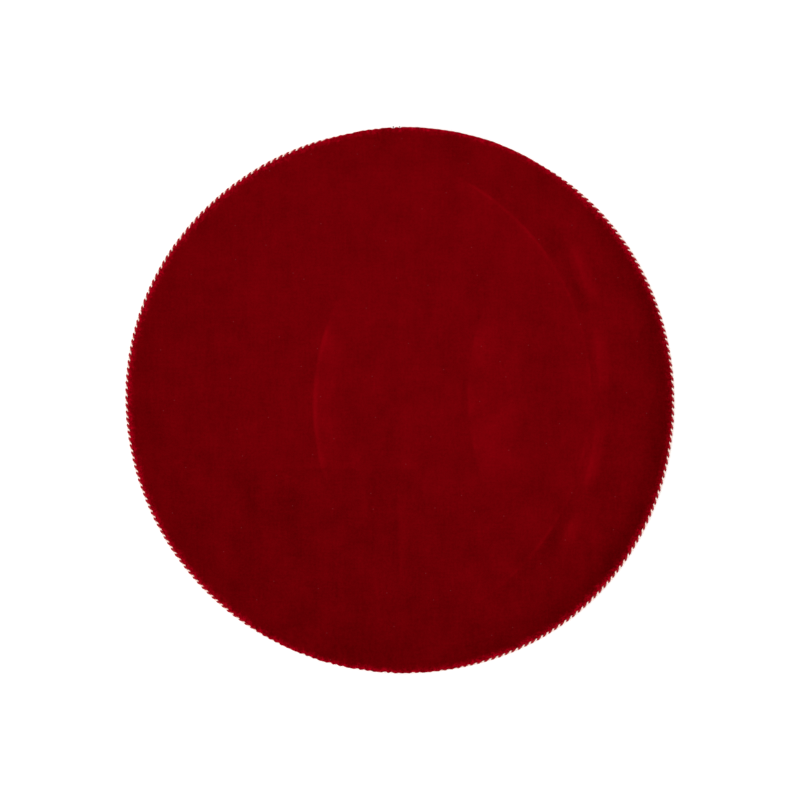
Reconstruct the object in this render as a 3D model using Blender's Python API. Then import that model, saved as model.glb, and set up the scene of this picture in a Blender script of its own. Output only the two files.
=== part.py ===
# Round velvet tree skirt, the closed kind: a wadded disc with a twisted cord sewn round its edge.
# Metres, +Z up. The origin is on the floor, under the middle of the disc.
#
# From the floor up: lining, wadding, velvet face. Both panels are hemmed inward at the rim, and the
# cord's lip tape is caught between the two hems, with one row of lockstitch through all three.

import math

import bmesh
import bpy
from mathutils import Euler

# Overall
OVERALL_DIAMETER = 1.000            # over the rim cord
RISE_WIDTH = 0.070                  # ring over which the lining rises from the floor to the rim's level

# Rim cord, with its lip tape and the thread that binds them
CORD_DIAMETER = 0.0070
TAPE_WIDTH = 0.0120
TAPE_THICKNESS = 0.0005
BINDING_THREAD_DIAMETER = 0.0003

# Panels
VELVET_THICKNESS = 0.0012           # ground cloth and pile together
VELVET_ALLOWANCE = 0.0120           # turned under at the rim
LINING_THICKNESS = 0.0004
LINING_ALLOWANCE = 0.0110           # turned in at the rim
WADDING_THICKNESS = 0.0038
WADDING_EDGE_GAP = 0.0010           # from the wadding's cut edge to the nearest turned-in edge

# Rim seam
SEAM_THREAD_DIAMETER = 0.0003
SEAM_INSET = 0.0030                 # from the tape's outer edge inward to the row of stitches

# Turning gap, closed by hand, and the join of the cord's two ends
CLOSING_THREAD_DIAMETER = 0.0005
CLOSING_START = math.radians(66)
JOIN_ANGLE = math.radians(91)
WHIPPING_LENGTH = 0.0120
WHIPPING_THICKNESS = 0.0003
CORD_TAPER_LENGTH = 0.0020          # over which the cord narrows into its whipping

# Care label, caught in the rim seam and lying under the lining
LABEL_WIDTH = 0.0300
LABEL_LENGTH = 0.0450
LABEL_THICKNESS = 0.0002
LABEL_ANGLE = math.radians(225)
LABEL_ROOT_RISE = 0.00035           # how far its sewn end climbs into the notch beside the cord

# Fits and mesh steps
CLEARANCE = 0.0003                  # between two pieces that touch on the real thing
SEGMENTS = 96                       # round the disc
THREAD_SIDES = 4
FOLD_STEPS = 4                      # round the outside of a hem's fold
WHIPPING_SIDES = 16

# What follows from those sizes: the cord
cord_radius = CORD_DIAMETER / 2
cord_ring_radius = OVERALL_DIAMETER / 2 - cord_radius
cord_height = cord_radius
whipped_cord_radius = cord_radius - WHIPPING_THICKNESS - CLEARANCE

# The hems, whose folds hold a seam thread, stacked up from the floor at the rim
hem_gap = SEAM_THREAD_DIAMETER + 2 * CLEARANCE
lining_fold_radius = LINING_THICKNESS + hem_gap / 2
velvet_fold_radius = VELVET_THICKNESS + hem_gap / 2
lining_rim_bottom = LABEL_THICKNESS + CLEARANCE
lining_fold_height = lining_rim_bottom + lining_fold_radius
tape_bottom = lining_fold_height + lining_fold_radius + CLEARANCE
tape_height = tape_bottom + TAPE_THICKNESS / 2
velvet_hem_bottom = tape_bottom + TAPE_THICKNESS + CLEARANCE
velvet_fold_height = velvet_hem_bottom + velvet_fold_radius

# The layers in the middle of the disc, where the lining lies on the floor
wadding_bottom = LINING_THICKNESS + CLEARANCE
wadding_top = wadding_bottom + WADDING_THICKNESS
velvet_bottom = wadding_top + CLEARANCE


def beside_cord(height, radius):
    """Ring radius at which a round edge of this radius and height lies one clearance from the cord."""
    reach = cord_radius + radius + CLEARANCE
    return cord_ring_radius - math.sqrt(reach ** 2 - (height - cord_height) ** 2)


lining_fold_ring = beside_cord(lining_fold_height, lining_fold_radius)
velvet_fold_ring = beside_cord(velvet_fold_height, velvet_fold_radius)
binding_ring = beside_cord(tape_height, BINDING_THREAD_DIAMETER / 2)
tape_outer = binding_ring - BINDING_THREAD_DIAMETER / 2 - CLEARANCE
seam_ring = tape_outer - SEAM_INSET
hem_inner = min(
    lining_fold_ring - LINING_ALLOWANCE,
    velvet_fold_ring - VELVET_ALLOWANCE,
    tape_outer - TAPE_WIDTH,
)
wadding_radius = hem_inner - WADDING_EDGE_GAP

# The label bends up past the lining's fold, and the panels are at the rim's level from its free end out
label_bend = lining_fold_ring + (lining_fold_radius + CLEARANCE) * (math.sqrt(2) - 1)
label_free_end = label_bend - LABEL_LENGTH
rise_end = min(label_free_end - CLEARANCE, wadding_radius)
rise_start = rise_end - RISE_WIDTH


def clear_scene():
    for thing in list(bpy.data.objects):
        bpy.data.objects.remove(thing)


def fabric_material(name, srgb, roughness):
    """A non-metallic Principled material, its colour given as 0 to 255 sRGB values."""
    material = bpy.data.materials.new(name)
    material.use_nodes = True
    shader = material.node_tree.nodes["Principled BSDF"]
    linear = [((value / 255 + 0.055) / 1.055) ** 2.4 if value > 10 else value / 3295 for value in srgb]
    shader.inputs["Base Color"].default_value = (*linear, 1)
    shader.inputs["Roughness"].default_value = roughness
    shader.inputs["Metallic"].default_value = 0
    return material


def finish_mesh(name, bm, material):
    """Makes the object of a finished bmesh, with its faces outward and its round faces smooth."""
    bmesh.ops.remove_doubles(bm, verts=bm.verts, dist=1e-6)
    bmesh.ops.recalc_face_normals(bm, faces=bm.faces)
    mesh = bpy.data.meshes.new(name)
    bm.to_mesh(mesh)
    bm.free()
    mesh.shade_smooth()
    mesh.set_sharp_from_angle(angle=math.radians(35))
    mesh.materials.append(material)
    thing = bpy.data.objects.new(name, mesh)
    bpy.context.scene.collection.objects.link(thing)
    return thing


def turned(name, profile, closed, material, steps=SEGMENTS):
    """Turns a profile of (radius, height) points round +Z. An open profile starts and ends on the axis."""
    bm = bmesh.new()
    points = [bm.verts.new((radius, 0, height)) for radius, height in profile]
    edges = [bm.edges.new(pair) for pair in zip(points, points[1:])]
    if closed:
        edges.append(bm.edges.new((points[-1], points[0])))
    bmesh.ops.spin(
        bm,
        geom=points + edges,
        cent=(0, 0, 0),
        axis=(0, 0, 1),
        angle=math.tau,
        steps=steps,
        use_merge=True,
    )
    return finish_mesh(name, bm, material)


def arc(centre, radius, start, end, steps):
    """Points of (radius, height) on an arc round a centre given the same way."""
    angles = [math.radians(start + (end - start) * step / steps) for step in range(steps + 1)]
    return [(centre[0] + radius * math.cos(a), centre[1] + radius * math.sin(a)) for a in angles]


def hemmed_panel(name, middle, fold, fold_radius, thickness, allowance, side, material):
    """A disc with its edge turned in. side is 1 where the hem lies below the panel and -1 where above.

    middle is the height of the panel's outer face in the middle of the disc, and fold the centre of
    the rounded edge, as (radius, height)."""
    inner_radius = fold_radius - thickness
    rim_outer = fold[1] + side * fold_radius
    rim_inner = fold[1] + side * inner_radius
    hem_end = fold[0] - allowance
    profile = [(0, middle), (rise_start, middle), (rise_end, rim_outer)]
    profile += arc(fold, fold_radius, 90 * side, -90 * side, FOLD_STEPS)
    profile += [(hem_end, fold[1] - side * fold_radius), (hem_end, fold[1] - side * inner_radius)]
    profile += arc(fold, inner_radius, -90 * side, 90 * side, FOLD_STEPS // 2)
    profile += [(rise_end, rim_inner), (rise_start, middle - side * thickness)]
    profile.append((0, middle - side * thickness))
    return turned(name, profile, False, material)


def velvet_face():
    return hemmed_panel(
        "velvet_face",
        velvet_bottom + VELVET_THICKNESS,
        (velvet_fold_ring, velvet_fold_height),
        velvet_fold_radius,
        VELVET_THICKNESS,
        VELVET_ALLOWANCE,
        1,
        fabric_material("red velvet", (112, 4, 8), 0.9),
    )


def lining():
    return hemmed_panel(
        "lining",
        0,
        (lining_fold_ring, lining_fold_height),
        lining_fold_radius,
        LINING_THICKNESS,
        LINING_ALLOWANCE,
        -1,
        fabric_material("red woven lining", (128, 14, 22), 0.8),
    )


def wadding():
    """Needled wadding that fills the disc inside the hems and follows both panels up to the rim."""
    rim_bottom = lining_rim_bottom + LINING_THICKNESS + CLEARANCE
    rim_top = velvet_fold_height + hem_gap / 2 - CLEARANCE
    profile = [
        (0, wadding_bottom),
        (rise_start, wadding_bottom),
        (rise_end, rim_bottom),
        (wadding_radius, rim_bottom),
        (wadding_radius, rim_top),
        (rise_end, rim_top),
        (rise_start, wadding_top),
        (0, wadding_top),
    ]
    return turned("wadding", profile, False, fabric_material("white wadding", (232, 230, 224), 0.95))


def cord_lip_tape():
    inner = tape_outer - TAPE_WIDTH
    top = tape_bottom + TAPE_THICKNESS
    profile = [(inner, tape_bottom), (tape_outer, tape_bottom), (tape_outer, top), (inner, top)]
    return turned("cord_lip_tape", profile, True, fabric_material("red woven tape", (140, 8, 20), 0.8))


def thread_ring(name, ring, height, diameter, material):
    """A thread that runs all the way round, sewn flat between two layers."""
    section = arc((ring, height), diameter / 2, 0, 360, THREAD_SIDES)[:-1]
    return turned(name, section, True, material)


def angle_steps(start, end):
    """Angles from start to end, stopping at each of the turned pieces' own steps on the way."""
    step = math.tau / SEGMENTS
    first = math.floor(start / step) + 1
    last = math.ceil(end / step) - 1
    return [start] + [index * step for index in range(first, last + 1)] + [end]


def swept(name, ring, height, diameter, stations, sides_level, material):
    """A round strand along a level arc. stations are (angle, share of the full radius) pairs."""
    curve = bpy.data.curves.new(name, "CURVE")
    curve.dimensions = "3D"
    curve.twist_mode = "Z_UP"
    curve.bevel_depth = diameter / 2
    curve.bevel_resolution = sides_level
    curve.use_fill_caps = True
    spline = curve.splines.new("POLY")
    spline.points.add(len(stations) - 1)
    for point, (angle, share) in zip(spline.points, stations):
        point.co = (ring * math.cos(angle), ring * math.sin(angle), height, 1)
        point.radius = share
    curve.materials.append(material)
    thing = bpy.data.objects.new(name, curve)
    bpy.context.scene.collection.objects.link(thing)
    return thing


def rim_cord():
    """The twisted cord, once round the rim. Its two cut ends meet inside the whipping, drawn in thinner."""
    share = whipped_cord_radius / cord_radius
    end = CLEARANCE / 2 / cord_ring_radius
    narrow = (WHIPPING_LENGTH / 2 + CLEARANCE) / cord_ring_radius
    full = narrow + CORD_TAPER_LENGTH / cord_ring_radius
    far = JOIN_ANGLE + math.tau
    stations = [(JOIN_ANGLE + end, share), (JOIN_ANGLE + narrow, share)]
    stations += [(angle, 1) for angle in angle_steps(JOIN_ANGLE + full, far - full)]
    stations += [(far - narrow, share), (far - end, share)]
    material = fabric_material("twisted cord", (190, 60, 66), 0.6)
    return swept("rim_cord", cord_ring_radius, cord_height, CORD_DIAMETER, stations, 4, material)


def cord_join_whipping():
    """Thread wound in a close sleeve over the cord's two cut ends."""
    inner = cord_radius - WHIPPING_THICKNESS
    half = WHIPPING_LENGTH / 2
    profile = [(inner, -half), (cord_radius, -half), (cord_radius, half), (inner, half)]
    material = fabric_material("red whipping thread", (150, 10, 24), 0.6)
    sleeve = turned("cord_join_whipping", profile, True, material, WHIPPING_SIDES)
    sleeve.rotation_euler = Euler((math.radians(90), 0, JOIN_ANGLE))
    sleeve.location = (
        cord_ring_radius * math.cos(JOIN_ANGLE),
        cord_ring_radius * math.sin(JOIN_ANGLE),
        cord_height,
    )
    return sleeve


def closing_stitch_thread():
    """Thread that closes the turning gap, seated in the notch under the rim between cord and lining."""
    radius = CLOSING_THREAD_DIAMETER / 2
    from_cord = cord_radius + CLEARANCE + radius
    from_fold = lining_fold_radius + CLEARANCE + radius
    run = cord_ring_radius - lining_fold_ring
    rise = cord_height - lining_fold_height
    apart = math.hypot(run, rise)
    opening = math.acos((from_fold ** 2 + apart ** 2 - from_cord ** 2) / (2 * from_fold * apart))
    down = math.atan2(rise, run) - opening
    ring = lining_fold_ring + from_fold * math.cos(down)
    height = lining_fold_height + from_fold * math.sin(down)
    stations = [(angle, 1) for angle in angle_steps(CLOSING_START, JOIN_ANGLE)]
    material = fabric_material("closing thread", (150, 12, 26), 0.6)
    return swept("closing_stitch_thread", ring, height, CLOSING_THREAD_DIAMETER, stations, 2, material)


def care_label():
    """A blank woven label, flat on the floor side of the lining, its sewn end bent up beside the cord."""
    mitre = LABEL_THICKNESS * math.tan(math.radians(22.5))
    slant = LABEL_THICKNESS / math.sqrt(2)
    tip = (label_bend + LABEL_ROOT_RISE, LABEL_THICKNESS + LABEL_ROOT_RISE)
    outline = [
        (label_free_end, 0),
        (label_bend + mitre, 0),
        (tip[0] + slant, tip[1] - slant),
        tip,
        (label_bend, LABEL_THICKNESS),
        (label_free_end, LABEL_THICKNESS),
    ]
    bm = bmesh.new()
    side = bm.faces.new([bm.verts.new((x, -LABEL_WIDTH / 2, z)) for x, z in outline])
    grown = bmesh.ops.extrude_face_region(bm, geom=[side])
    moved = [part for part in grown["geom"] if isinstance(part, bmesh.types.BMVert)]
    bmesh.ops.translate(bm, verts=moved, vec=(0, LABEL_WIDTH, 0))
    label = finish_mesh("care_label", bm, fabric_material("white woven label", (236, 232, 222), 0.7))
    label.rotation_euler = Euler((0, 0, LABEL_ANGLE))
    return label


def main():
    clear_scene()
    lining()
    wadding()
    velvet_face()
    rim_cord()
    cord_lip_tape()
    seam_thread = fabric_material("red sewing thread", (140, 10, 20), 0.6)
    binding_thread = fabric_material("ivory binding thread", (236, 214, 190), 0.6)
    thread_ring("seam_needle_thread", seam_ring, velvet_fold_height, SEAM_THREAD_DIAMETER, seam_thread)
    thread_ring("seam_bobbin_thread", seam_ring, lining_fold_height, SEAM_THREAD_DIAMETER, seam_thread)
    thread_ring("lip_binding_thread", binding_ring, tape_height, BINDING_THREAD_DIAMETER, binding_thread)
    cord_join_whipping()
    closing_stitch_thread()
    care_label()


main()
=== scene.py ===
import math

import bpy
import numpy as np
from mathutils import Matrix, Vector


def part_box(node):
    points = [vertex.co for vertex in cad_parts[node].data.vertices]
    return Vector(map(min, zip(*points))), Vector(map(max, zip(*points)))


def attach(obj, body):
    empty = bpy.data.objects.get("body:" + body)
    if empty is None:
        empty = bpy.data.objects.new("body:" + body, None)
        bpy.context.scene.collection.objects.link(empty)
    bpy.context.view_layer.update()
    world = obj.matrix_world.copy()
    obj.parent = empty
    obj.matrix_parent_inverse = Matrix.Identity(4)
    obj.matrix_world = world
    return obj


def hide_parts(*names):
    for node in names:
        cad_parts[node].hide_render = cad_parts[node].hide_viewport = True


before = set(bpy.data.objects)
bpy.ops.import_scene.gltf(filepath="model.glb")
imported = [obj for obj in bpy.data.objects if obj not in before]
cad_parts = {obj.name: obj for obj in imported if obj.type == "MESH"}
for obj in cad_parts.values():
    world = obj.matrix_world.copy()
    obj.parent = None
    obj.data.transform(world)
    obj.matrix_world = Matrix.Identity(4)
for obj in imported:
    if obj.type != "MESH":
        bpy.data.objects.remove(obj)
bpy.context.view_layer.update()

mm = 0.001

# Sizes that come from the frame
cordLow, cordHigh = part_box("rim_cord")
rimRadius = (cordHigh.x - cordLow.x) / 2
cordRadius = (cordHigh.z - cordLow.z) / 2
cordRing = rimRadius - cordRadius
joinLow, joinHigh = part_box("cord_join_whipping")
joinAngle = math.atan2(joinLow.y + joinHigh.y, joinLow.x + joinHigh.x)


def ringSize(node):
    # the middle radius, middle height and thickness of a thread or tape that runs right round
    low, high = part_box(node)
    return (high.x - low.x) / 2, (high.z + low.z) / 2, high.z - low.z


# Small tools


def linearColour(hexText):
    parts = [int(hexText[i : i + 2], 16) / 255 for i in (1, 3, 5)]
    return [p / 12.92 if p <= 0.04045 else ((p + 0.055) / 1.055) ** 2.4 for p in parts] + [1]


def addNode(tree, kind, settings=None, inputs=None):
    # settings are the node's own properties; an input is a value, or another node's output
    node = tree.nodes.new(kind)
    for name, value in (settings or {}).items():
        setattr(node, name, value)
    for name, value in (inputs or {}).items():
        if isinstance(value, bpy.types.NodeSocket):
            tree.links.new(value, node.inputs[name])
        else:
            node.inputs[name].default_value = value
    return node


def newMaterial(name):
    material = bpy.data.materials.new(name)
    material.use_nodes = True
    material.node_tree.nodes.clear()
    return material, material.node_tree


def clothShader(tree, colour, height, cloth):
    # every cloth and thread here ends in the same shader; cloth holds its fixed values
    bump = addNode(tree, "ShaderNodeBump", inputs={
        "Height": height, "Strength": cloth["bumpStrength"], "Distance": cloth["bumpDepth"]})
    shader = addNode(tree, "ShaderNodeBsdfPrincipled", inputs={
        "Base Color": colour, "Normal": bump.outputs[0], "Roughness": cloth["roughness"],
        "Specular IOR Level": cloth["specular"], "IOR": cloth["ior"],
        "Sheen Weight": cloth["sheen"], "Sheen Roughness": cloth["sheenRoughness"],
        "Sheen Tint": linearColour(cloth["sheenColour"])})
    addNode(tree, "ShaderNodeOutputMaterial", inputs={"Surface": shader.outputs[0]})


def smooth(low, high, x):
    t = np.clip((x - low) / (high - low), 0, 1)
    return t * t * (3 - 2 * t)


def around(count):
    return np.arange(count) * 2 * math.pi / count


def smoothPath(stops, perSpan):
    # a soft curve through the stops, with perSpan steps between each two
    stops = np.array(stops, float)
    ends = np.vstack([2 * stops[0] - stops[1], stops, 2 * stops[-1] - stops[-2]])
    t = (np.arange(perSpan) / perSpan)[:, None]
    curve = []
    for a, b, c, d in zip(ends[:-3], ends[1:-2], ends[2:-1], ends[3:]):
        curve.append(0.5 * (2 * b + (c - a) * t + (2 * a - 5 * b + 4 * c - d) * t**2
                            + (3 * b - a - 3 * c + d) * t**3))
    return np.vstack(curve + [stops[-1:]])


def addPiece(name, points, faces, material, replaces, shades=None):
    # a smooth mesh that rides on the skirt's one body and stands for a CAD node
    mesh = bpy.data.meshes.new(name)
    mesh.from_pydata(np.asarray(points).tolist(), [], faces)
    mesh.shade_smooth()
    mesh.materials.append(material)
    if shades is not None:
        mesh.attributes.new("shade", "FLOAT", "POINT").data.foreach_set("value", shades)
    piece = bpy.data.objects.new(name, mesh)
    bpy.context.scene.collection.objects.link(piece)
    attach(piece, "root")
    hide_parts(replaces)
    print(f"{name}: {len(mesh.vertices)} points, {len(mesh.polygons)} faces")
    return piece


def joinRings(rings, closed=False, flip=False):
    # faces between rings of points. A ring may have twice or half as many as the next one.
    # A closed set joins its last ring to its first; an open one gets a point in each end ring's middle.
    points = list(rings)
    starts = np.cumsum([0] + [len(r) for r in rings])
    faces = []
    pairs = list(zip(range(len(rings)), range(1, len(rings))))
    if closed:
        pairs.append((len(rings) - 1, 0))
    for one, two in pairs:
        a, b, na, nb = starts[one], starts[two], len(rings[one]), len(rings[two])
        for j in range(min(na, nb)):
            if na == nb:
                k = (j + 1) % na
                faces.append((a + j, b + j, b + k, a + k))
            elif nb > na:
                middle, end, nearEnd = b + 2 * j + 1, b + (2 * j + 2) % nb, a + (j + 1) % na
                faces += [(a + j, b + 2 * j, middle), (a + j, middle, nearEnd), (nearEnd, middle, end)]
            else:
                middle, end, farEnd = a + 2 * j + 1, a + (2 * j + 2) % na, b + (j + 1) % nb
                faces += [(a + 2 * j, b + j, middle), (middle, b + j, farEnd), (middle, farEnd, end)]
    if not closed:
        for which, turn in ((0, True), (len(rings) - 1, False)):
            tip = starts[-1] + (which > 0)
            count = len(rings[which])
            points.append(rings[which].mean(axis=0)[None])
            for j in range(count):
                face = (tip, starts[which] + j, starts[which] + (j + 1) % count)
                faces.append(face if turn else face[::-1])
    if flip:
        faces = [f[::-1] for f in faces]
    return np.vstack(points), [tuple(int(i) for i in f) for f in faces]


def tube(path, outward, radius, sides, closed=False):
    # a tube round a path. outward is a direction across the path at each point, and radius may
    # be one number, or one for each point, or one for each point and side
    if closed:
        along = np.roll(path, -1, axis=0) - np.roll(path, 1, axis=0)
    else:
        along = np.gradient(path, axis=0)
    along /= np.linalg.norm(along, axis=1)[:, None]
    across = outward - (outward * along).sum(axis=1)[:, None] * along
    across /= np.linalg.norm(across, axis=1)[:, None]
    third = np.cross(along, across)
    turn = around(sides)
    radius = np.broadcast_to(np.asarray(radius, float).reshape(-1, 1) if np.ndim(radius) < 2
                             else radius, (len(path), sides))
    points = (path[:, None] + radius[..., None] * (across[:, None] * np.cos(turn)[None, :, None]
              + third[:, None] * np.sin(turn)[None, :, None]))
    count = len(path)
    faces = []
    for i in range(count if closed else count - 1):
        a, b = i * sides, (i + 1) % count * sides
        faces += [(a + j, a + (j + 1) % sides, b + (j + 1) % sides, b + j) for j in range(sides)]
    if not closed:
        faces.append(tuple(range(sides))[::-1])
        faces.append(tuple(range((count - 1) * sides, count * sides)))
    return points.reshape(-1, 3), faces


def joinParts(parts):
    points, faces, start = [], [], 0
    for p, f in parts:
        points.append(p)
        faces += [tuple(i + start for i in face) for face in f]
        start += len(p)
    return np.vstack(points), faces


# How the skirt lies. Every layer follows these, so they stay together.
lie = {
    "edgeWaves": [(2, 2.06 * mm, 44), (3, 2.28 * mm, 179), (4, 1.12 * mm, 163), (5, 0.4 * mm, -90)],
    "liftWaves": [(3, 0.7, 20), (5, 0.8, 200), (8, 0.5, 75)],  # waves round, share, turn
    "lift": 1.5 * mm,  # how high the edge stands off the floor between its resting places
    "liftDepth": 110 * mm,
    "hiddenTo": 0.15,  # the velvet rolls over the cord along two stretches of the rim,
    "shownFrom": 0.6,  # front and back, given as cosines of the angle round
    "axisTurn": math.radians(9),
    "tuck": 2.2 * mm,  # how far the cord draws in where it is rolled under, at the back
    "tuckFront": 0.2 * mm,
    "tuckDepth": 60 * mm,
    "loft": 0.8 * mm,  # unevenness of the wadding
    # soft folds left by packing: heading across the fold, its distance, its height
    "creases": [(0, -5 * mm, -0.7 * mm), (90, -123 * mm, -0.6 * mm), (4, 196 * mm, 0.5 * mm)],
    "creaseWidth": 11 * mm,
}


def cordShown(angle):
    return smooth(lie["hiddenTo"], lie["shownFrom"], abs(np.cos(angle + lie["axisTurn"])))


def tuck(angle):
    # how far the rim draws in where the cord is rolled under
    front = smooth(0.3, -0.3, np.sin(angle))
    return (lie["tuck"] * (1 - front) + lie["tuckFront"] * front) * (1 - cordShown(angle))


def place(angle, radius, height, tucked=True):
    # a point of the flat pattern, moved to where it lies in the finished skirt
    edge = sum(size * np.cos(k * angle + math.radians(turn)) for k, size, turn in lie["edgeWaves"])
    wave = sum(size * np.cos(k * angle + math.radians(turn)) for k, size, turn in lie["liftWaves"])
    wave = 0.5 * (wave + np.sqrt(wave**2 + 0.05)) - 0.06
    lift = lie["lift"] * wave.clip(0) * smooth(rimRadius - lie["liftDepth"], rimRadius, radius)
    out = radius + edge * (radius / rimRadius) ** 2
    if tucked:
        reach = smooth(rimRadius - lie["tuckDepth"], rimRadius - lie["tuckDepth"] / 3, radius)
        out = out - tuck(angle) * reach
    return np.stack([out * np.cos(angle), out * np.sin(angle), height + lift], axis=-1)


def loft(angle, radius):
    # low, broad unevenness of the wadded middle, gone at the rim
    x, y = radius * np.cos(angle), radius * np.sin(angle)
    waves = np.random.default_rng(4)
    total = 0
    for length in (260, 190, 140, 110, 90, 75):
        heading, start = waves.uniform(0, 2 * math.pi, 2)
        total = total + np.sin((x * math.cos(heading) + y * math.sin(heading)) * 2 * math.pi
                               / (length * mm) + start)
    total = lie["loft"] * total / 2
    for heading, distance, height in lie["creases"]:
        across = x * math.cos(math.radians(heading)) + y * math.sin(math.radians(heading))
        total = total + height * np.exp(-(((across - distance) / lie["creaseWidth"]) ** 2))
    return total * (1 - smooth(rimRadius - 60 * mm, rimRadius - 14 * mm, radius))


def ringCount(radius):
    # fewer points on the rings near the middle
    for limit, count in ((0.03, 60), (0.07, 120), (0.15, 240)):
        if radius < limit:
            return count
    return 480


rimBand = 19 * mm  # the strip along a fold over which its points' shade grows from 0 to 1


def clothShell(middleHeight, section, thickness, facing, middleStep, fineRows):
    # a round sheet of cloth with its edge turned under, as one closed skin. section gives the
    # radius and height of the good side near the rim, from the flat part out, round the fold and
    # back in along the hem. facing is 1 where the good side is up and -1 where it is down. The
    # middle has a ring every middleStep, and fineRows are the steps drawn with twice the points.
    coarse, fine = around(960), around(1920)
    r, z = section(coarse)
    rFine, zFine = section(fine)
    dr, dz = np.gradient(r, axis=0), np.gradient(z, axis=0)
    rBack = r + facing * thickness * dz / np.hypot(dr, dz)
    zBack = z - facing * thickness * dr / np.hypot(dr, dz)
    # the back is drawn with fewer points, so it keeps clear of every pucker of the good side
    zBack = facing * np.min([np.roll(facing * zBack, k, axis=1) for k in range(-2, 3)], axis=0)
    outermost = r.max(axis=0)
    rings, rimward = [], []

    def lay(angle, radius, height, edge=rimRadius):
        rings.append(place(angle, radius, height, False))
        rimward.append(((radius - edge) / rimBand + 1).clip(0, 1) + 0 * angle)

    radii = np.arange(middleStep, r[0].min() - middleStep / 3, middleStep)
    for radius in radii:
        angle = around(ringCount(radius))
        lay(angle, radius, middleHeight(angle, radius))
    for k in range(len(r)):
        if fineRows[0] <= k < fineRows[1]:
            lay(fine, rFine[k], zFine[k], rFine.max(axis=0))
        else:
            lay(coarse, r[k], z[k], outermost)
    for k in reversed(range(len(r))):
        lay(coarse[::2], rBack[k, ::2], zBack[k, ::2], outermost[::2])
    for radius in radii[::-1][::2]:
        angle = around(ringCount(radius) // 2)
        lay(angle, radius, middleHeight(angle, radius) - facing * thickness)
    points, faces = joinRings(rings, flip=facing < 0)
    return points, faces, np.concatenate(rimward + [[0, 0]])


# Cotton velvet: woven, then cut and brushed. Light sinks in between the upright tufts, so it has
# no gloss, and the pile glows a clearer red where the cloth turns away.
velvetPile = {
    "deep": "#4F0002", "lit": "#750108", "sheenColour": "#C81420",
    "roughness": 0.9, "specular": 0.0, "ior": 1.5, "sheen": 0.35, "sheenRoughness": 0.45,
    "bumpStrength": 0.4, "bumpDepth": 0.35 * mm,
    "tuft": 1.6 * mm,  # real tufts stand 0.6 mm apart, too fine to show
    "speck": 4 * mm, "mottle": 12 * mm, "streak": 4.5 * mm, "fold": 18 * mm, "cloud": 60 * mm,
    "lighterXY": (0.04, 0.26),  # lighter towards +X and +Y
    "outwardDarkening": -0.68,  # and darker away from the middle
    "away": 0.32,  # painted shade: darker still where the right-hand edge slopes down from the light
    "paintedShadeHeading": math.radians(-4),
    # painted sheen: along the fold, where the seam spreads the pile, the velvet is painted a clearer red
    # in ragged patches, standing in for the light the open pile catches
    "rimSheenColour": "#A80018", "paintedRimSheen": 0.63, "rimSheenSpeck": 2.4, "rimSheenRagged": 9 * mm,
    "paintedSheenFade": (400 * mm, 480 * mm, 0.6),  # between these X it drops to this share
    "lintColour": "#82383A", "lintSize": 1.2 * mm, "lintApart": 90 * mm,
    # Where the skirt was folded in its packet, the cord of another part pressed arcs into the
    # pile. Each has its middle and radius, how light the pile is at so many mm outside that
    # radius, and a box that gives its reach in X and Y. Beats are lighter stretches along it.
    "presses": [
        {"middle": (-0.102, 0.009), "radius": 0.446, "box": (0.0, 0.40, -0.39, 0.44),
         "light": [(-80, 0), (-25, 0.10), (-5, 0.13), (0, 0.31), (5, -0.03), (14, -0.08), (60, 0)]},
        {"middle": (-0.280, 0.030), "radius": 0.641, "box": (0.28, 0.40, -0.30, 0.32),
         "light": [(-18, 0), (-7, 0.25), (1, 0.5), (11, 0.3), (24, 0)], "beats": 170 * mm},
        {"middle": (0.283, -0.009), "radius": 0.440, "box": (-0.20, -0.08, -0.17, 0.20),
         "light": [(-50, 0), (-26, 0.14), (-8, 0.18), (0, 0.40), (6, 0)]},
        {"middle": (0.561, 0.009), "radius": 0.440, "box": (0.08, 0.26, -0.17, 0.19),
         "light": [(-100, 0), (-70, 0.15), (-16, 0.26), (-3, 0.26), (3, 0)]},
        {"middle": (-0.100, -9.123), "radius": 9.0, "box": (-0.30, 0.05, -0.40, 0.0),
         "light": [(-200, 0), (-60, -0.10), (-5, -0.06), (3, 0.08), (60, 0)]},
        {"middle": (8.996, 0.0), "radius": 9.0, "box": (-0.04, 0.03, -0.38, -0.13),
         "light": [(-22, 0), (-7, 0.08), (0, 0.13), (8, -0.04), (22, 0)]},
    ],
    "breaks": 70 * mm,  # every mark comes and goes along its length
    "fadeX": 30 * mm, "fadeY": 70 * mm,  # and fades out at the sides of its box
}


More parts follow.
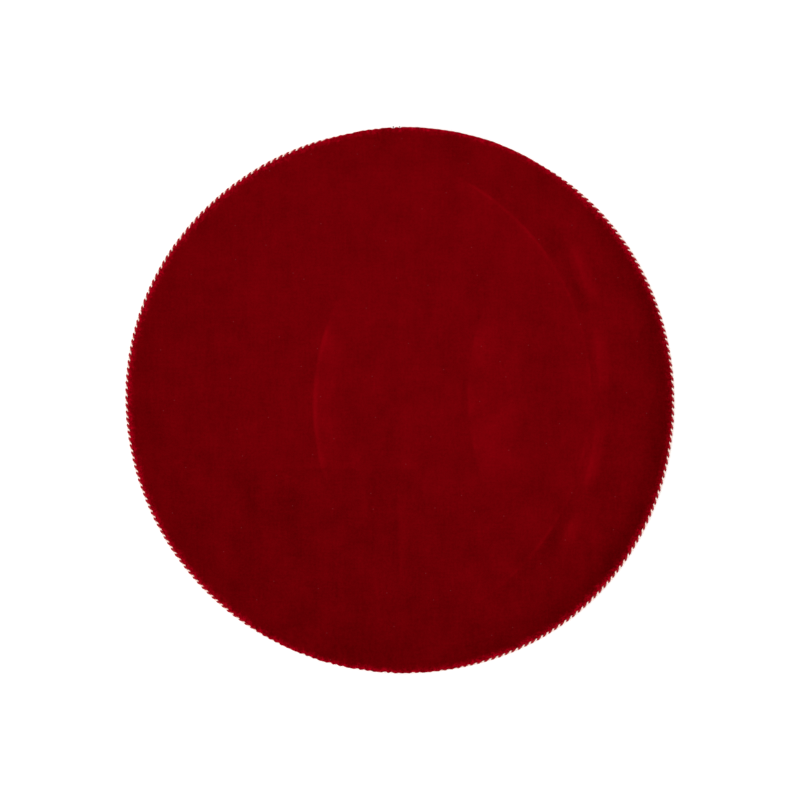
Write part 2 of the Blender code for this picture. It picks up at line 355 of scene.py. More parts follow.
def velvetMaterial():
    material, tree = newMaterial("cotton velvet, cut and brushed")
    here = addNode(tree, "ShaderNodeTexCoord").outputs["Object"]
    xyz = addNode(tree, "ShaderNodeSeparateXYZ", inputs={0: here})
    flat = addNode(tree, "ShaderNodeVectorMath", {"operation": "MULTIPLY"}, {
        0: here, 1: (1, 1, 0)}).outputs[0]
    rimward = addNode(tree, "ShaderNodeAttribute", {"attribute_name": "shade"}).outputs[2]

    def noise(size, detail, stretch=(1, 1, 1)):
        scaled = addNode(tree, "ShaderNodeVectorMath", {"operation": "MULTIPLY"},
                         {0: here, 1: stretch})
        pattern = addNode(tree, "ShaderNodeTexNoise", inputs={
            "Vector": scaled.outputs[0], "Scale": 1 / size, "Detail": detail})
        return addNode(tree, "ShaderNodeMath", {"operation": "SUBTRACT"}, {
            0: pattern.outputs[0], 1: 0.5}).outputs[0]

    def multiplyAdd(a, b, c):
        return addNode(tree, "ShaderNodeMath", {"operation": "MULTIPLY_ADD"}, {
            0: a, 1: b, 2: c}).outputs[0]

    def fadeIn(value, start, full, low=0, high=1):
        return addNode(tree, "ShaderNodeMapRange", {"interpolation_type": "SMOOTHSTEP"}, {
            0: value, 1: start, 2: full, 3: low, 4: high}).outputs[0]

    tuft, speck = noise(velvetPile["tuft"], 2), noise(velvetPile["speck"], 2)
    layers = [
        (tuft, 0.45), (speck, 0.6), (noise(velvetPile["mottle"], 3), 0.22),
        (noise(velvetPile["streak"], 2, (0.1, 1, 1)), 0.2),
        (noise(velvetPile["streak"], 2, (1, 0.1, 1)), 0.25),
        (noise(velvetPile["fold"], 2, (1, 0.15, 1)), 0.2),
        (noise(velvetPile["cloud"], 3), 0.6),
        (xyz.outputs[0], velvetPile["lighterXY"][0]), (xyz.outputs[1], velvetPile["lighterXY"][1]),
    ]
    total = 0.5
    for pattern, share in layers:
        total = multiplyAdd(pattern, share, total)
    breaks = fadeIn(noise(velvetPile["breaks"], 2), -0.12, 0.12, 0.35, 1.3)
    for press in velvetPile["presses"]:
        away = addNode(tree, "ShaderNodeVectorMath", {"operation": "DISTANCE"}, {
            0: flat, 1: (*press["middle"], 0)})
        off = addNode(tree, "ShaderNodeMath", {"operation": "SUBTRACT"}, {
            0: away.outputs[1], 1: press["radius"]}).outputs[0]
        start, full = press["light"][0][0], press["light"][-1][0]
        along = addNode(tree, "ShaderNodeMapRange", inputs={0: off, 1: start * mm, 2: full * mm})
        ramp = addNode(tree, "ShaderNodeValToRGB", inputs={0: along.outputs[0]})
        ramp.color_ramp.interpolation = "EASE"
        stops = ramp.color_ramp.elements
        while len(stops) < len(press["light"]):
            stops.new(0.5)
        for stop, (distance, light) in zip(stops, press["light"]):
            stop.position = (distance - start) / (full - start)
            stop.color = [0.5 + light / 2] * 3 + [1]
        light = multiplyAdd(ramp.outputs[0], 2, -1)
        left, right, low, high = press["box"]
        fadeX, fadeY = velvetPile["fadeX"], velvetPile["fadeY"]
        fades = [breaks, fadeIn(xyz.outputs[0], left, left + fadeX),
                 fadeIn(xyz.outputs[0], right, right - fadeX),
                 fadeIn(xyz.outputs[1], low, low + fadeY),
                 fadeIn(xyz.outputs[1], high, high - fadeY)]
        if "beats" in press:
            turn = multiplyAdd(xyz.outputs[1], 2 * math.pi / press["beats"], -2.6)
            beat = addNode(tree, "ShaderNodeMath", {"operation": "COSINE"}, {0: turn})
            fades[0] = fadeIn(beat.outputs[0], -0.9, 0.4, 0.2, 1)
        for fade in fades:
            light = multiplyAdd(light, fade, 0)
        total = multiplyAdd(light, 1, total)

    radius = addNode(tree, "ShaderNodeVectorMath", {"operation": "LENGTH"}, {0: flat}).outputs[1]
    total = multiplyAdd(multiplyAdd(radius, radius, 0), velvetPile["outwardDarkening"], total)
    # darker where the edge turns from the light
    slope = fadeIn(radius, rimRadius - 62 * mm, rimRadius - 10 * mm)
    heading = (math.cos(velvetPile["paintedShadeHeading"]), math.sin(velvetPile["paintedShadeHeading"]), 0)
    facing = addNode(tree, "ShaderNodeVectorMath", {"operation": "DOT_PRODUCT"}, {
        0: flat, 1: heading})
    facing = fadeIn(facing.outputs[1], 0.12, rimRadius - 6 * mm, 0, -velvetPile["away"])
    total = multiplyAdd(slope, facing, total)
    colour = addNode(tree, "ShaderNodeMix", {"data_type": "RGBA", "clamp_factor": False}, {
        0: total, 6: linearColour(velvetPile["deep"]), 7: linearColour(velvetPile["lit"])})
    dark = addNode(tree, "ShaderNodeMix", {"data_type": "RGBA", "blend_type": "LIGHTEN"}, {
        0: 1, 6: colour.outputs[2], 7: linearColour("#2A0000")})
    # painted sheen along the fold, in ragged, speckled patches, fading towards +X
    ragged = multiplyAdd(noise(velvetPile["rimSheenRagged"], 2), 1.3, rimward)
    spread = multiplyAdd(fadeIn(ragged, 0.3, 1.15), rimward, 0)
    rimSheenStrength = multiplyAdd(speck, velvetPile["rimSheenSpeck"], velvetPile["paintedRimSheen"])
    rimSheenStrength = multiplyAdd(tuft, velvetPile["rimSheenSpeck"], rimSheenStrength)
    start, full, least = velvetPile["paintedSheenFade"]
    rimSheenStrength = multiplyAdd(rimSheenStrength, fadeIn(xyz.outputs[0], start, full, 1, least), 0)
    rimSheenMix = addNode(tree, "ShaderNodeMix", {"data_type": "RGBA"}, {
        0: multiplyAdd(spread, rimSheenStrength, 0), 6: dark.outputs[2],
        7: linearColour(velvetPile["rimSheenColour"])})
    # a few specks of lint
    dots = addNode(tree, "ShaderNodeTexVoronoi", {"voronoi_dimensions": "2D"}, {
        "Vector": here, "Scale": 1 / velvetPile["lintApart"]}).outputs[0]
    size = velvetPile["lintSize"] / velvetPile["lintApart"]
    lint = addNode(tree, "ShaderNodeMix", {"data_type": "RGBA"}, {
        0: fadeIn(dots, size, size / 3, 0, 0.4), 6: rimSheenMix.outputs[2],
        7: linearColour(velvetPile["lintColour"])})
    clothShader(tree, lint.outputs[2], tuft, velvetPile)
    return material


velvet = {
    "thickness": 1.2 * mm,
    "middle": 8.2 * mm,  # height over the wadded middle
    "swell": 1.5 * mm,  # the right-hand side stands higher, then drops to the rim
    "swellHeading": math.radians(-14),
    "pucker": 0.45 * mm,  # the seam gathers the velvet into small dimples
    "puckerWidth": 7 * mm,
    "ripple": 0.16 * mm,  # the fold follows the plies of the cord
    "wander": 0.3 * mm,  # and is sewn a little unevenly
    "peep": 1.3 * mm,  # how far it draws back to show the cord's plies
    "foldRow": 18,  # which step of the two sections below is the outermost
    "fineRows": (10, 23), "middleStep": 8 * mm,
    # the good side near the rim: mm in from the rim, mm above the floor
    "besideCord": [(-60, 8.2), (-38, 8.1), (-22, 7.8), (-13, 7.5), (-8.6, 7.5), (-6.2, 7.35),
                   (-5.0, 6.75), (-5.6, 5.9), (-6.9, 4.6), (-8.8, 3.85), (-12, 3.6), (-20, 3.5)],
    "overCord": [(-60, 8.2), (-38, 8.4), (-22, 8.8), (-12, 9.3), (-5, 9.6), (-1.6, 9.3),
                 (-0.4, 8.4), (-1.4, 7.5), (-5.2, 7.25), (-9.6, 5.6), (-12.5, 3.8), (-21, 3.6)],
}


def swell(angle, radius):
    facing = np.cos(angle - velvet["swellHeading"]).clip(0) ** 1.5
    rise = smooth(rimRadius - 220 * mm, rimRadius - 60 * mm, radius)
    return velvet["swell"] * facing * rise * (1 - smooth(-48 * mm, -12 * mm, radius - rimRadius))


def velvetMiddle(angle, radius):
    return velvet["middle"] + loft(angle, radius) + swell(angle, radius)


def velvetSection(angle):
    shown = cordShown(angle)[None]
    beside = smoothPath(velvet["besideCord"], 3)[..., None] * mm
    over = smoothPath(velvet["overCord"], 3)[..., None] * mm
    mixed = beside * shown[None] + over * (1 - shown[None])
    inward, z = mixed[:, 0], mixed[:, 1]
    row = np.arange(len(inward))[:, None]
    onTop = row <= velvet["foldRow"]
    r = rimRadius + inward
    z = z + onTop * (loft(angle, r) + swell(angle, r))
    gather = (np.cos(310 * angle + 2.5 * np.sin(7 * angle)) + np.cos(197 * angle + 3 * np.sin(11 * angle))
              + 0.7 * np.cos(83 * angle))
    near = np.exp(-(((inward + 9 * mm) / velvet["puckerWidth"]) ** 2)) * onTop
    z = z + velvet["pucker"] * gather / 2 * near
    fold = np.exp(-(((row - velvet["foldRow"]) / 4) ** 2))
    r = r + velvet["ripple"] * np.cos(cord["twists"] * angle + 0.6) * fold
    wander = np.sin(37 * angle + 2 * np.sin(5 * angle)) + 0.7 * np.sin(91 * angle + 3)
    r = r + velvet["wander"] * wander / 2 * fold
    # at the front the fold only just covers the cord, whose plies peep out here and there, and
    # at the back left it is a little rough
    rough = np.maximum(smooth(0.3, -0.3, np.sin(angle)), 0.5 * smooth(0.02, -0.1, np.cos(angle)))
    rough = rough * (1 - shown)
    peep = 1 + np.sin(53 * angle + 3 * np.sin(4 * angle)) + 0.5 * np.sin(119 * angle)
    betweenPlies = (1 - np.cos(cord["twists"] * angle + 0.6)) / 2
    r = r - velvet["peep"] * rough * peep.clip(0) * betweenPlies * fold
    for along, _ in frays["spots"]:
        away = (angle % (2 * math.pi) - joinAngle) * rimRadius - along * mm
        r = r - frays["notch"] * np.exp(-((away / frays["notchWidth"]) ** 2)) * fold
    return r, z


# Twisted furnishing cord: two plies of spun viscose, one dyed red and one left ivory. The
# filaments lie nearly along the cord, so each ply shows fine lines and a soft silky light.
redPly = {
    "colour": "#A80018", "shadow": "#5C000A", "sheenColour": "#FF4050",
    "roughness": 0.55, "specular": 0.15, "ior": 1.5, "sheen": 0.25, "sheenRoughness": 0.4,
    "bumpStrength": 0.5, "bumpDepth": 0.12 * mm,
}
ivoryPly = {
    "colour": "#FFEEE2", "shadow": "#C8645A", "sheenColour": "#FFFFFF",
    "roughness": 0.5, "specular": 0.3, "ior": 1.5, "sheen": 0.2, "sheenRoughness": 0.4,
    "bumpStrength": 0.5, "bumpDepth": 0.12 * mm,
}
threadBump = {"bumpStrength": 0.4, "bumpDepth": 0.05 * mm}


def yarnMaterial(name, yarn, filament=0.25 * mm):
    # filament is the width of a drawn line; real ones are a tenth of it, too fine to show
    material, tree = newMaterial(name)
    here = addNode(tree, "ShaderNodeTexCoord").outputs["Object"]
    xyz = addNode(tree, "ShaderNodeSeparateXYZ", inputs={0: here})
    turn = addNode(tree, "ShaderNodeMath", {"operation": "ARCTAN2"}, {
        0: xyz.outputs[1], 1: xyz.outputs[0]})
    out = addNode(tree, "ShaderNodeVectorMath", {"operation": "LENGTH"}, {0: here})
    # lines run round the rim: long steps along it, short ones across
    lines = addNode(tree, "ShaderNodeCombineXYZ", inputs={
        0: turn.outputs[0], 1: out.outputs[1], 2: xyz.outputs[2]})
    stretched = addNode(tree, "ShaderNodeVectorMath", {"operation": "MULTIPLY"}, {
        0: lines.outputs[0], 1: (rimRadius * 0.12, 1, 1)})
    fibre = addNode(tree, "ShaderNodeTexNoise", inputs={
        "Vector": stretched.outputs[0], "Scale": 1 / filament, "Detail": 2})
    patch = addNode(tree, "ShaderNodeTexNoise", inputs={"Vector": here, "Scale": 1 / (9 * mm)})
    # the shade attribute carries painted shade in the cord's yarn grooves and on the ivory ply's inner
    # side, and the brown tips of the singed fibres
    groove = addNode(tree, "ShaderNodeAttribute", {"attribute_name": "shade"})
    shade = addNode(tree, "ShaderNodeMath", {"operation": "MULTIPLY_ADD"}, {
        0: fibre.outputs[0], 1: 0.5, 2: groove.outputs[2]})
    shade = addNode(tree, "ShaderNodeMath", {"operation": "MULTIPLY_ADD"}, {
        0: patch.outputs[0], 1: 0.3, 2: shade.outputs[0]})
    shade = addNode(tree, "ShaderNodeMapRange", inputs={0: shade.outputs[0], 1: 0.3, 2: 1.3})
    colour = addNode(tree, "ShaderNodeMix", {"data_type": "RGBA"}, {
        0: shade.outputs[0], 6: linearColour(yarn["colour"]), 7: linearColour(yarn["shadow"])})
    clothShader(tree, colour.outputs[2], fibre.outputs[0], yarn)
    return material


cord = {
    "twists": 245,  # in one turn round the rim
    "steps": 18,  # rings of points in one twist
    "sides": 20,
    "yarns": 6,  # lobes round each ply
    "yarnDepth": 0.07,
    "yarnTurns": -1.25,  # of a ply in one twist, against the twist of the cord
    "redRadius": 2.15 * mm, "redOff": 1.33 * mm,  # the red ply is the fatter one
    "ivoryRadius": 1.5 * mm, "ivoryOff": 1.97 * mm,
    "slack": 0.45,  # how unevenly it is twisted, as an angle
    "plump": 0.09,  # and how unevenly it was spun
    "innerShade": 0.9,  # painted shade, pinkish with the red pile's light, on the ivory ply's inner side where it lies against the velvet
    "joinTaper": 6 * mm,  # the ends are squeezed by their whipping over this length
    "joinSize": 0.82,
    "endGap": 0.3 * mm,
}


def cordSqueeze(angle):
    away = abs((angle - joinAngle + math.pi) % (2 * math.pi) - math.pi) * cordRing
    return cord["joinSize"] + (1 - cord["joinSize"]) * smooth(cord["joinTaper"] - 1 * mm,
                                                              cord["joinTaper"] + 2 * mm, away)


def cordPoint(angle, phase, off, tucked=True):
    # a point off the cord's middle line, phase round it from straight out towards up
    return place(angle, cordRing + off * np.cos(phase), cordRadius + off * np.sin(phase), tucked)


def addPly(name, start, radius, off, red, material):
    gap = cord["endGap"] / cordRing
    count = cord["twists"] * cord["steps"]
    angle = np.linspace(joinAngle + gap, joinAngle + 2 * math.pi - gap, count + 1)
    uneven = np.sin(19 * angle + 1) + 0.7 * np.sin(43 * angle + 2 * np.sin(3 * angle))
    phase = cord["twists"] * angle + start + cord["slack"] * uneven
    squeeze = cordSqueeze(angle)
    path = cordPoint(angle, phase, off * squeeze)
    outward = path - cordPoint(angle, phase, 0)
    turn = around(cord["sides"])[None]
    yarnTurn = cord["yarnTurns"] * cord["twists"] * angle[:, None]
    lobe = abs(np.cos(cord["yarns"] / 2 * (turn - yarnTurn)))
    flat = 1 - 0.06 * (-np.cos(turn)).clip(0)  # pressed where the plies meet
    spun = 1 + cord["plump"] * np.sin(61 * angle + start) * np.cos(23 * angle + 2)
    sizes = radius * (squeeze * spun)[:, None] * (1 - cord["yarnDepth"] * (1 - lobe) ** 1.5 * 2) * flat
    points, faces = tube(path, outward, sizes, cord["sides"])
    middle = np.repeat(np.hypot(*cordPoint(angle, phase, 0).T[:2]), cord["sides"])
    innerShade = smooth(0.3 * mm, 2.2 * mm, middle - np.hypot(points[:, 0], points[:, 1]))
    # painted shade: darker in the grooves between yarns, and pinkish on the ivory ply's inner side next
    # to the velvet
    shades = ((1 - lobe) ** 2 * 0.6).ravel() + red * innerShade
    return addPiece(name, points, faces, material, "rim_cord", shades)


# Lining: plain-woven poly-cotton, dyed red. Flat and matt, with a fine square thread pattern.
liningCloth = {
    "colour": "#8E0C14", "shadow": "#5C060C", "sheenColour": "#D04040",
    "roughness": 0.8, "specular": 0.25, "ior": 1.5, "sheen": 0.1, "sheenRoughness": 0.5,
    "bumpStrength": 0.5, "bumpDepth": 0.15 * mm,
    "thread": 1.2 * mm,  # real threads are 0.35 mm apart, too fine to show
}
# Tape: woven cotton. A close, slightly raised thread pattern, quite matt.
tapeCloth = dict(liningCloth, colour="#9A0A16", shadow="#6A040C", thread=0.8 * mm)
# Label: woven satin, left blank. Smooth and a little shiny, with faint long threads.
labelCloth = {
    "colour": "#F2EEE2", "shadow": "#DAD3C2", "sheenColour": "#FFFFFF",
    "roughness": 0.45, "specular": 0.45, "ior": 1.5, "sheen": 0.1, "sheenRoughness": 0.4,
    "bumpStrength": 0.3, "bumpDepth": 0.04 * mm,
    "thread": 0.5 * mm,
}
# Wadding: needled polyester. White, soft-edged, with fibres lying every way.
waddingFibre = {
    "colour": "#F0EEE8", "shadow": "#C9C6BE", "sheenColour": "#FFFFFF",
    "roughness": 0.95, "specular": 0.2, "ior": 1.5, "sheen": 0.4, "sheenRoughness": 0.6,
    "bumpStrength": 0.6, "bumpDepth": 0.6 * mm,
}


def wovenMaterial(name, cloth):
    material, tree = newMaterial(name)
    here = addNode(tree, "ShaderNodeTexCoord").outputs["Object"]
    bands = []
    for direction in ("X", "Y"):
        bands.append(addNode(tree, "ShaderNodeTexWave", {"bands_direction": direction}, {
            "Vector": here, "Scale": math.pi / (10 * cloth["thread"]), "Distortion": 0.6,
            "Detail": 2, "Detail Scale": 2}).outputs[1])
    height = addNode(tree, "ShaderNodeMath", {"operation": "MULTIPLY"}, {0: bands[0], 1: bands[1]})
    slub = addNode(tree, "ShaderNodeTexNoise", inputs={
        "Vector": here, "Scale": 1 / (14 * mm), "Detail": 4})
    shade = addNode(tree, "ShaderNodeMath", {"operation": "MULTIPLY_ADD"}, {
        0: height.outputs[0], 1: -0.5, 2: slub.outputs[0]})
    shade = addNode(tree, "ShaderNodeMapRange", inputs={0: shade.outputs[0], 1: -0.1, 2: 0.8})
    colour = addNode(tree, "ShaderNodeMix", {"data_type": "RGBA"}, {
        0: shade.outputs[0], 6: linearColour(cloth["colour"]), 7: linearColour(cloth["shadow"])})
    clothShader(tree, colour.outputs[2], height.outputs[0], cloth)
    return material


def waddingMaterial():
    material, tree = newMaterial("needled polyester wadding")
    here = addNode(tree, "ShaderNodeTexCoord").outputs["Object"]
    fibre = addNode(tree, "ShaderNodeTexNoise", inputs={
        "Vector": here, "Scale": 1 / (2 * mm), "Detail": 5, "Distortion": 1.5})
    shade = addNode(tree, "ShaderNodeMapRange", inputs={0: fibre.outputs[0], 1: 0.35, 2: 0.7})
    colour = addNode(tree, "ShaderNodeMix", {"data_type": "RGBA"}, {
        0: shade.outputs[0], 6: linearColour(waddingFibre["shadow"]),
        7: linearColour(waddingFibre["colour"])})
    clothShader(tree, colour.outputs[2], fibre.outputs[0], waddingFibre)
    return material


lining = {
    "thickness": 0.4 * mm,
    "fineRows": (0, 0), "middleStep": 18 * mm,
    "pucker": 0.12 * mm,
    # the good side, which faces down: mm in from the rim, mm above the floor
    "section": [(-120, 0.0), (-80, 0.2), (-40, 0.45), (-20, 0.5), (-10, 0.5), (-7.5, 0.62),
                (-6.8, 1.35), (-7.5, 2.08), (-9.5, 2.2), (-18.5, 2.2)],
}


def liningSection(angle):
    path = smoothPath(lining["section"], 3)[..., None] * mm
    inward = path[:, 0] + 0 * angle[None]
    z = path[:, 1] + 0 * angle[None]
    near = np.exp(-(((inward + 12 * mm) / (7 * mm)) ** 2)) * (z < 1.2 * mm)
    gather = 1 + np.cos(290 * angle + 2 * np.sin(5 * angle)) * np.cos(41 * angle)
    z = z + lining["pucker"] * gather * near
    return rimRadius + inward - tuck(angle) * smooth(-60 * mm, -20 * mm, inward), z


def liningMiddle(angle, radius):
    return 0 * angle


def addLayers():
    points, faces, rimward = clothShell(velvetMiddle, velvetSection, velvet["thickness"], 1,
                                        velvet["middleStep"], velvet["fineRows"])
    velvetTop = addPiece("velvet_top", points, faces, velvetMaterial(), "velvet_face",
                         rimward)
    points, faces, _ = clothShell(liningMiddle, liningSection, lining["thickness"], -1,
                                  lining["middleStep"], lining["fineRows"])
    liningBack = addPiece("lining_back", points, faces,
                          wovenMaterial("plain-woven poly-cotton", liningCloth), "lining")
    return velvetTop, liningBack


wadding = {"gap": 0.35 * mm, "fluff": 0.3 * mm, "edgeWander": 1.2 * mm}


def addWadding():
    # a cut round of batting that fills the space between the lining and the velvet
    low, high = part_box("wadding")
    edge = (high.x - low.x) / 2
    bottom = lining["thickness"] + wadding["gap"]
    rings = []
    radii = list(np.arange(15 * mm, edge - 10 * mm, 15 * mm)) + [edge - 6 * mm, edge - 2 * mm, edge]
    counts = [ringCount(r) for r in radii]

    def ring(radius, count, share):
        angle = around(count)
        top = velvetMiddle(angle, radius) - velvet["thickness"] - wadding["gap"]
        fluff = wadding["fluff"] * np.sin(radius * 900 + 37 * angle) * np.cos(53 * angle)
        height = bottom + share * (top - wadding["fluff"] - bottom) + share * (1 - share) * fluff
        wander = wadding["edgeWander"] * (np.cos(29 * angle) + np.cos(47 * angle + 1) - 2) / 4
        return place(angle, radius + wander * (radius > edge - 8 * mm), height)

    for radius, count in zip(radii, counts):
        rings.append(ring(radius, count, 0.94 if radius == edge else 1))
    rings.append(ring(edge + 0.8 * mm, counts[-1], 0.5))
    for radius, count in reversed(list(zip(radii, counts))):
        rings.append(ring(radius, count, 0.06 if radius == edge else 0))
    points, faces = joinRings(rings)
    return addPiece("wadding_sheet", points, faces, waddingMaterial(), "wadding")


# Threads: spun polyester, two-ply. Thin, matt and slightly hairy.
def threadLook(colour, shadow):
    return dict(redPly, colour=colour, shadow=shadow, roughness=0.7, specular=0.2, **threadBump)


def runningThread(node, waves, across, height, sides, steps, dip=None):
    # a thread right round the rim that swings across and up as it is stitched
    radius, middle, thickness = ringSize(node)
    angle = around(waves * steps)
    turn = waves * angle
    rise = height * np.cos(turn)
    if dip:
        rise = height + dip * np.exp(-(((turn / (2 * math.pi)) % 1 - 0.5) / 0.16) ** 2)
    centre = radius - thickness / 2 + across * np.sin(turn)
    path = place(angle, centre, middle + rise)
    return tube(path, place(angle, centre + 1 * mm, middle + rise) - path, thickness / 2, sides, True)


tapeCut = {
    "width": 12 * mm, "length": 3.07, "wander": 0.15 * mm,
    # its thicker woven edges: share of the width, share of the thickness up from the middle
    "section": [(0, -0.5), (0, 0.5), (0.06, 0.62), (0.12, 0.5), (0.88, 0.5), (0.94, 0.62),
                (1, 0.5), (1, -0.5), (0.94, -0.6), (0.88, -0.5), (0.12, -0.5), (0.06, -0.6)],
}
binding = {"stitches": 1000, "across": 0.35 * mm, "height": 0.15 * mm, "sides": 5, "steps": 5}


def addTape():
    # the cord's woven lip, between the two hems
    outer, middle, thickness = ringSize("cord_lip_tape")
    rings = []
    angle = around(720)
    wander = tapeCut["wander"] * np.sin(61 * angle) * np.cos(17 * angle)
    for along, up in tapeCut["section"]:
        radius = outer - tapeCut["width"] * (1 - along) + wander
        rings.append(place(angle, radius, middle + up * thickness))
    points, faces = joinRings(rings, closed=True)
    tape = addPiece("lip_tape_woven", points, faces, wovenMaterial("woven cotton tape", tapeCloth),
                    "cord_lip_tape")
    points, faces = runningThread("lip_binding_thread", binding["stitches"], binding["across"],
                                  binding["height"], binding["sides"], binding["steps"])
    addPiece("lip_binding_stitches", points, faces,
             yarnMaterial("spun viscose binding thread", dict(ivoryPly, **threadBump)),
             "lip_binding_thread")
    return tape


seam = {"stitches": 1020, "needleDip": -1.9 * mm, "bobbinDip": 1.2 * mm, "sides": 5, "steps": 7}


def addSeamStitches():
    # a lockstitch row: each thread lies flat between the holes and dips to meet the other
    sewing = yarnMaterial("spun polyester sewing thread", threadLook("#8E0410", "#4E0206"))
    for name, node, dip in (("seam_needle_stitches", "seam_needle_thread", seam["needleDip"]),
                            ("seam_bobbin_stitches", "seam_bobbin_thread", seam["bobbinDip"])):
        points, faces = runningThread(node, seam["stitches"], 0, 0, seam["sides"], seam["steps"], dip)
        addPiece(name, points, faces, sewing, node)


whipping = {"thickness": 0.32 * mm, "short": 0.3 * mm, "steps": 20, "sides": 6}


def addWhipping():
    # close turns of thread that bind the two ends of the cord
    length = (joinHigh.x - joinLow.x) - whipping["short"]
    thickness = whipping["thickness"]
    turns = int(length / thickness)
    t = np.linspace(0, 1, turns * whipping["steps"] + 1)
    angle = joinAngle + (t - 0.5) * length / cordRing
    phase = 2 * math.pi * turns * t
    off = cordRadius - thickness * 0.7
    path = cordPoint(angle, phase, off)
    points, faces = tube(path, path - cordPoint(angle, phase, 0), thickness / 2, whipping["sides"])
    addPiece("join_whipping_turns", points, faces,
             yarnMaterial("twisted whipping thread", threadLook("#96040F", "#5A0207")),
             "cord_join_whipping")


closing = {
    "thickness": 0.45 * mm,
    "stitches": 44, "steps": 10, "sides": 6,
    "bite": 0.25 * mm,  # how far each stitch goes into either hem
    "bow": 0.12 * mm,
    # where the row starts, a round knot and a short tail stand on the fold
    "knot": 1.9 * mm, "knotTurns": 6, "knotHeight": 9.3 * mm,
    "tail": 3.2 * mm,
}


def addClosingStitches():
    # ladder stitches that close the gap the skirt was turned through
    low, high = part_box("closing_stitch_thread")
    start = math.atan2(low.y, high.x)
    outer = math.hypot(high.x, low.y)
    thickness = closing["thickness"]
    count = closing["stitches"]
    t = np.linspace(0, 1, count * closing["steps"] + 1)
    angle = start + (joinAngle - start) * t
    turn = 2 * math.pi * count * t
    middle = (low.z + high.z) / 2
    radius = outer - thickness / 2 - closing["bite"] * (1 - np.tanh(2.5 * np.sin(turn)))
    height = middle + closing["bow"] * np.cos(2 * turn)
    path = place(angle, radius, height)
    parts = [tube(path, place(angle, radius + 1 * mm, height) - path, thickness / 2,
                  closing["sides"])]
    turn = np.linspace(0, math.pi, closing["knotTurns"] * 16 + 1)
    spin = 2 * closing["knotTurns"] * turn
    size = closing["knot"] / 2 - thickness / 3
    knot = size * np.stack([np.sin(turn) * np.cos(spin), np.sin(turn) * np.sin(spin),
                            np.cos(turn)], axis=-1)
    at = place(np.array([start]), rimRadius - 0.4 * mm, closing["knotHeight"])
    parts.append(tube(knot + at, knot, thickness / 2, closing["sides"]))
    t = np.linspace(0, 1, 14)[:, None]
    tail = at + closing["tail"] * (t * [[0.9, -0.35, 0.1]] + t**2 * [[-0.3, 0.5, -0.5]])
    parts.append(tube(tail, np.array([[0, 0, 1.0]]) + 0 * tail, thickness / 3.2,
                      closing["sides"]))
    points, faces = joinParts(parts)
    addPiece("closing_ladder_stitches", points, faces,
             yarnMaterial("hand-sewing thread", threadLook("#5C0A12", "#2C0406")),
             "closing_stitch_thread")


# Where the cord's two ends meet, a few cut fibres come out through notches in the fold
frays = {
    # mm round the rim from the middle of the whipping, and mm that they stand out
    "spots": [(-6.0, 3.4), (5.6, 3.6)],
    "fibres": 16, "fibre": 0.75 * mm, "spread": 1.0 * mm, "sides": 6,
    "root": 4.5, "height": 7.6,  # mm in from the rim, and up, where they start
    "notch": 2.0 * mm, "notchWidth": 2.4 * mm,
}


def addFrays():
    # singed, so the tips are brown
    strands, shades = [], []
    bends = np.random.default_rng(11)
    t = np.linspace(0, 1, 10)
    for along, length in frays["spots"]:
        for k in range(frays["fibres"]):
            side, rise, reach = bends.uniform(-1, 1, 3)
            fan = frays["spread"] * side * (0.25 + 0.75 * t**2)
            stand = frays["root"] + length * (0.85 + 0.15 * reach)
            out = rimRadius + (stand * t - frays["root"]) * mm
            bend = 0.3 * rise + 1.6 * t - 1.4 * t**2 + 0.5 * rise * t**2
            height = (frays["height"] + bend) * mm
            path = place(joinAngle + (along * mm + fan) / cordRing, out, height)
            size = frays["fibre"] / 2 * (1 - 0.6 * t**3)
            strands.append(tube(path, np.array([[0, 0, 1.0]]) + 0 * path, size, frays["sides"]))
            shades.append(np.repeat(1.5 * smooth(0.8, 0.95, t), frays["sides"]))
    points, faces = joinParts(strands)
    look = dict(redPly, colour="#86000E", shadow="#4A0A0C", sheen=0.1)
    addPiece("cord_end_fibres", points, faces, yarnMaterial("singed viscose fibres", look),
             "rim_cord", np.concatenate(shades))


labelCut = {
    "width": 30 * mm, "length": 45 * mm, "thickness": 0.2 * mm,
    "root": 6.6 * mm,  # in from the rim
    "rise": 0.5 * mm,  # of its sewn end
    "curl": 0.12 * mm,  # of its loose corners
    "steps": (24, 36),
}


def addLabel():
    # a blank woven label under the lining, its sewn end bent up into the seam
    low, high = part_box("care_label")
    heading = math.atan2(low.y + high.y, low.x + high.x)
    width, length, thick = labelCut["width"], labelCut["length"], labelCut["thickness"]
    root = rimRadius - labelCut["root"]
    acrossSteps, alongSteps = labelCut["steps"]
    v = np.linspace(-0.5, 0.5, acrossSteps + 1)[None] * width
    u = np.linspace(0, 1, alongSteps + 1)[:, None]
    out = root - length * (1 - u) + 0 * v
    lift = labelCut["rise"] * smooth(root - 1.2 * mm, root, out)
    curl = labelCut["curl"] * smooth(0.38, 0.5, abs(v / width)) * (1 - u)
    x = out * math.cos(heading) - v * math.sin(heading)
    y = out * math.sin(heading) + v * math.cos(heading)
    skins = []
    for z in (lift + 0 * v, lift + thick + curl * 0.3):
        angle, radius = np.arctan2(y, x), np.hypot(x, y)
        skins.append(place(angle, radius, z + 0 * x))
    rows, columns = alongSteps + 1, acrossSteps + 1
    points = np.vstack([s.reshape(-1, 3) for s in skins])
    faces = []
    for i in range(rows - 1):
        for j in range(columns - 1):
            a = i * columns + j
            quad = (a, a + columns, a + columns + 1, a + 1)
            faces.append(quad[::-1])
            faces.append(tuple(k + rows * columns for k in quad))
    border = ([j for j in range(columns)] + [i * columns + columns - 1 for i in range(1, rows)]
              + [(rows - 1) * columns + j for j in range(columns - 2, -1, -1)]
              + [i * columns for i in range(rows - 2, 0, -1)])
    for a, b in zip(border, border[1:] + border[:1]):
        faces.append((a, b, b + rows * columns, a + rows * columns)[::-1])
    return addPiece("care_label_woven", points, faces,
                    wovenMaterial("woven satin label", labelCloth), "care_label")


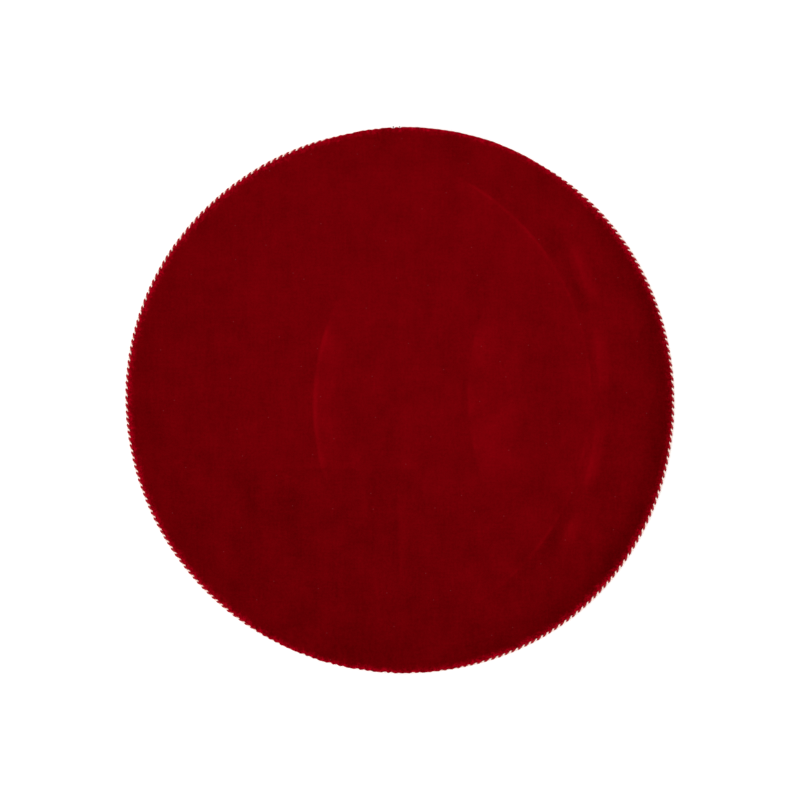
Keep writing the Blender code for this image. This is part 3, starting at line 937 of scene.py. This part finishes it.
velvetTop, liningBack = addLayers()
waddingSheet = addWadding()
redYarn = yarnMaterial("spun viscose cord, red", redPly)
ivoryYarn = yarnMaterial("spun viscose cord, ivory", ivoryPly)
addPly("rim_cord_red_ply", 0, cord["redRadius"], cord["redOff"], 0, redYarn)
addPly("rim_cord_ivory_ply", math.pi, cord["ivoryRadius"], cord["ivoryOff"], cord["innerShade"],
       ivoryYarn)
tape = addTape()
addSeamStitches()
addWhipping()
addClosingStitches()
addFrays()
label = addLabel()


# Room, light and camera
room = {
    "floorSize": 30, "floorColour": "#F4F4F2", "floorTone": "#EFEFEC",
    "floorMottle": 1 / 3, "floorRoughness": 0.9, "floorSpecular": 0.1,
    "floorGlow": 0.2,  # overexposed, as on a lit table
    "skyStrength": 1.0, "skyColour": "#FFFFFF",
    "keyStrength": 0.9, "keyHeading": math.radians(160), "keyHeight": math.radians(50),
    "keySoftness": math.radians(40),
}


def addRoom():
    half = room["floorSize"] / 2
    mesh = bpy.data.meshes.new("studio_floor")
    mesh.from_pydata([(-half, -half, 0), (half, -half, 0), (half, half, 0), (-half, half, 0)],
                     [], [(0, 1, 2, 3)])
    floor = bpy.data.objects.new("studio_floor", mesh)
    floor.location.z = -0.1 * mm
    bpy.context.scene.collection.objects.link(floor)
    # Painted board: matt and even, only very slightly mottled
    material, tree = newMaterial("matt painted board")
    here = addNode(tree, "ShaderNodeTexCoord").outputs["Object"]
    tone = addNode(tree, "ShaderNodeTexNoise", inputs={
        "Vector": here, "Scale": 1 / room["floorMottle"]})
    colour = addNode(tree, "ShaderNodeMix", {"data_type": "RGBA"}, {
        0: tone.outputs[0], 6: linearColour(room["floorColour"]),
        7: linearColour(room["floorTone"])})
    shader = addNode(tree, "ShaderNodeBsdfPrincipled", inputs={
        "Base Color": colour.outputs[2], "Roughness": room["floorRoughness"],
        "Specular IOR Level": room["floorSpecular"],
        "Emission Color": (1, 1, 1, 1), "Emission Strength": room["floorGlow"]})
    addNode(tree, "ShaderNodeOutputMaterial", inputs={"Surface": shader.outputs[0]})
    mesh.materials.append(material)

    world = bpy.data.worlds.new("studio")
    bpy.context.scene.world = world
    world.use_nodes = True
    sky = world.node_tree.nodes["Background"]
    sky.inputs[0].default_value = linearColour(room["skyColour"])
    sky.inputs[1].default_value = room["skyStrength"]

    lamp = bpy.data.lights.new("key", "SUN")
    lamp.energy = room["keyStrength"]
    lamp.angle = room["keySoftness"]
    key = bpy.data.objects.new("key", lamp)
    key.rotation_euler = (0, math.pi / 2 - room["keyHeight"], room["keyHeading"])
    bpy.context.scene.collection.objects.link(key)


view = {"lens": 85, "sensor": 36, "across": 1.4575, "right": -0.0020, "up": -0.0008}


def addCamera():
    # looks straight down; across is the width of floor that fills the frame
    data = bpy.data.cameras.new("camera")
    data.lens = view["lens"]
    data.sensor_width = view["sensor"]
    camera = bpy.data.objects.new("camera", data)
    away = view["across"] * view["lens"] / view["sensor"]
    camera.location = (view["right"], -view["up"], cordRadius + away)
    bpy.context.scene.collection.objects.link(camera)
    bpy.context.scene.camera = camera


addRoom()
addCamera()
bpy.context.scene.view_settings.view_transform = "Standard"
print("room, light and camera set")
